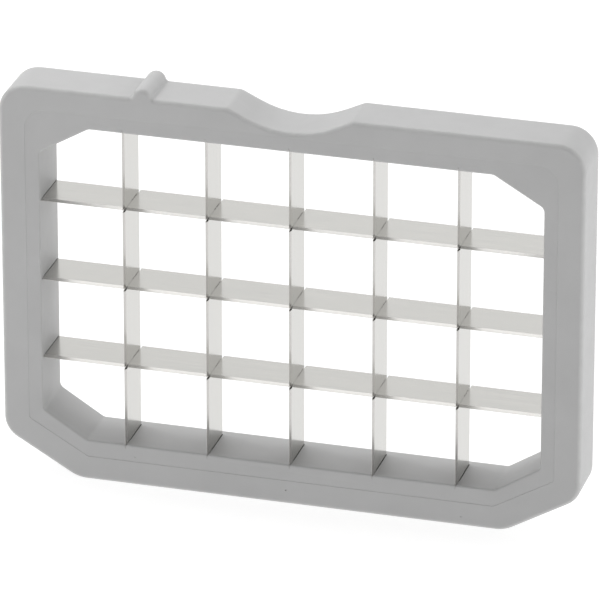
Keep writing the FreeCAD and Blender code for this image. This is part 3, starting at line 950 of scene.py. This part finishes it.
# %% Ride and replace
UPRIGHT_NODES = [f"vertical_blade_{number}" for number in range(1, UPRIGHT_COUNT + 1)]
LEVEL_NODES = [f"horizontal_blade_{number}" for number in range(1, LEVEL_COUNT + 1)]
for piece, nodes, slot in (
        (moulded_frame, ["frame_body"], "frame_plastic"),
        (flush_ring, ["front_retaining_ring"], "ring_plastic"),
        (upright_blades, UPRIGHT_NODES, "blade_steel"),
        (level_blades, LEVEL_NODES, "blade_steel")):
    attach(piece, "root")
    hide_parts(*nodes)
    print(piece.name, "stands for", len(nodes), "node(s)")

# %% [markdown]
# ## The floor: a light table
#
# Small catalogue objects often stand on a light table, a sheet of white acrylic
# lit from below, because it washes the shadow out. The floor does the
# same: a matt white sheet that also glows softly. A plain white floor would need
# far more light from above, which would flatten the plastic.

# %% Light table
TABLE_GLOW = 0.79


def make_floor():
    """Lay a wide glowing white sheet under the grid."""
    material, tree = new_material("white_acrylic_light_table")
    place = add_node(tree, "ShaderNodeTexCoord").outputs["Object"]
    cloud = add_node(tree, "ShaderNodeTexNoise", {"Vector": place, "Scale": 1.5, "Detail": 2.0})
    white = add_node(tree, "ShaderNodeValToRGB", {"Fac": cloud})
    white.color_ramp.elements[0].color = linear("#A2A2A2")
    white.color_ramp.elements[1].color = linear("#A5A5A5")
    shader = add_node(tree, "ShaderNodeBsdfPrincipled",
                      {"Base Color": white, "Roughness": 0.9, "Specular IOR Level": 0.0,
                       "Emission Color": (1, 1, 1, 1), "Emission Strength": TABLE_GLOW})
    add_node(tree, "ShaderNodeOutputMaterial", {"Surface": shader})
    mesh = bmesh.new()
    bmesh.ops.create_grid(mesh, x_segments=8, y_segments=8, size=4.0)
    data = bpy.data.meshes.new("light_table")
    mesh.to_mesh(data)
    mesh.free()
    data.materials.append(material)
    floor = bpy.data.objects.new("light_table", data)
    bpy.context.scene.collection.objects.link(floor)


make_floor()
print("light table ready")

# %% [markdown]
# ## Dome and soft lights
#
# The dome is weak in front and strong behind and on the right, so the front face
# stays a step darker than the top and the right side, and the polished blades
# have something bright to mirror. One soft light in front grades the front face
# from left to right, and one on the right lifts the right side. Of the two high
# ones, that on the left brightens the top edge, and that behind whitens the level
# bevels, which face it like small mirrors.

# %% Dome and soft lights
DOME_BACK = 1.03
DOME_RIGHT = 0.92
DOME_LEFT = 0.5
DOME_FRONT = 0.1
LEFT_POWER = 0.36
RIGHT_POWER = 1.3
BACK_POWER = 1.6
TOP_POWER = 2.8


def make_dome():
    """Light the scene from a dome with its own strength on each side."""
    world = bpy.data.worlds.new("studio_dome")
    world.use_nodes = True
    tree = world.node_tree
    tree.nodes.clear()
    direction = add_node(tree, "ShaderNodeSeparateXYZ",
                         {0: add_node(tree, "ShaderNodeTexCoord").outputs["Generated"]})
    strength = 0.0
    for axis, part in (("Y", DOME_BACK), ("Y", -DOME_FRONT), ("X", DOME_RIGHT), ("X", -DOME_LEFT)):
        facing = add_node(tree, "ShaderNodeMath", {0: direction.outputs[axis], 1: part},
                          operation="MULTIPLY")
        lit = add_node(tree, "ShaderNodeMath", {0: facing, 1: 0.0}, operation="MAXIMUM")
        strength = add_node(tree, "ShaderNodeMath", {0: lit, 1: strength}, operation="ADD")
    shine = add_node(tree, "ShaderNodeBackground", {"Color": (1, 1, 1, 1), "Strength": strength})
    add_node(tree, "ShaderNodeOutputWorld", {"Surface": shine})
    bpy.context.scene.world = world


def make_soft_light(name, place, power, size):
    """Hang one square soft light and point it at the middle of the grid."""
    data = bpy.data.lights.new(name, "AREA")
    data.energy = power
    data.size = size
    light = bpy.data.objects.new(name, data)
    light.location = place
    target = Vector((0, 0, GRID_CENTRE))
    light.rotation_euler = (target - Vector(place)).to_track_quat("-Z", "Y").to_euler()
    bpy.context.scene.collection.objects.link(light)


make_dome()
make_soft_light("left_softbox", (-0.30, -0.22, 0.36), LEFT_POWER, 0.35)
make_soft_light("right_softbox", (0.80, 0.15, 0.55), RIGHT_POWER, 0.6)
make_soft_light("back_softbox", (-0.25, 0.50, 0.75), BACK_POWER, 0.62)
make_soft_light("upper_left_softbox", (-0.60, 0.12, 0.80), TOP_POWER, 0.35)
bpy.context.scene.view_settings.view_transform = "Standard"
print("studio ready")
